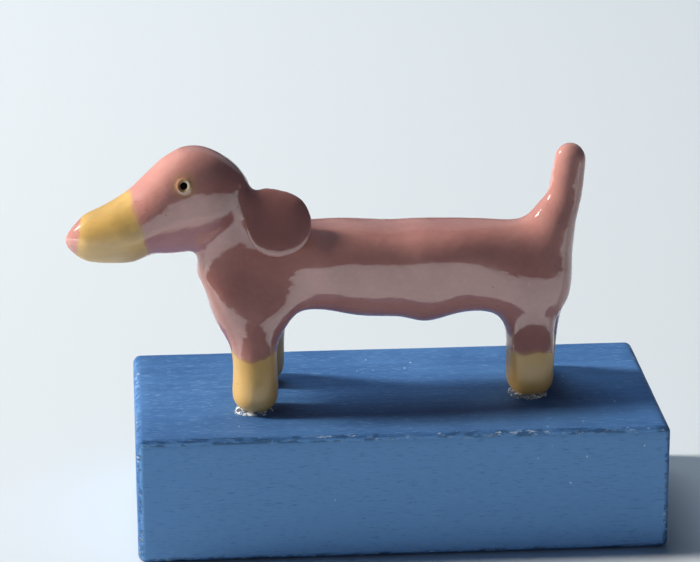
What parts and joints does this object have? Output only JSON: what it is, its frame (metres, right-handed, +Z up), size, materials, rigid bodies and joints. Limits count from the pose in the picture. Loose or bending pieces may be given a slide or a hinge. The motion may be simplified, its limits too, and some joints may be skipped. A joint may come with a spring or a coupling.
{
  "type": "dachshund figurine",
  "caption": "Hand-modelled glazed clay dachshund standing on a painted wooden block, glued to it by its feet; a small shelf ornament.",
  "frame": {"origin": "middle of the wooden block's underside", "axes": "+Z up; +X along the block, from the dog's nose towards its tail; +Y towards the dog's right side"},
  "size_m": [0.1122, 0.05, 0.074],
  "materials": {
    "blue_paint": "brushed satin blue paint over fine-grained wood, worn pale along the edges",
    "pink_glaze": "glossy dusty terracotta pink glaze with yellow ochre muzzle and feet",
    "clear_glue": "clear set glue"
  },
  "bodies": {
    "root": {"base_block": "blue_paint", "torso": "pink_glaze", "neck": "pink_glaze", "head": "pink_glaze", "left_ear": "pink_glaze", "right_ear": "pink_glaze", "tail": "pink_glaze", "front_left_leg": "pink_glaze", "front_right_leg": "pink_glaze", "rear_left_leg": "pink_glaze", "rear_right_leg": "pink_glaze", "glue_front_left": "clear_glue", "glue_front_right": "clear_glue", "glue_rear_left": "clear_glue", "glue_rear_right": "clear_glue"}
  },
  "joints": []
}
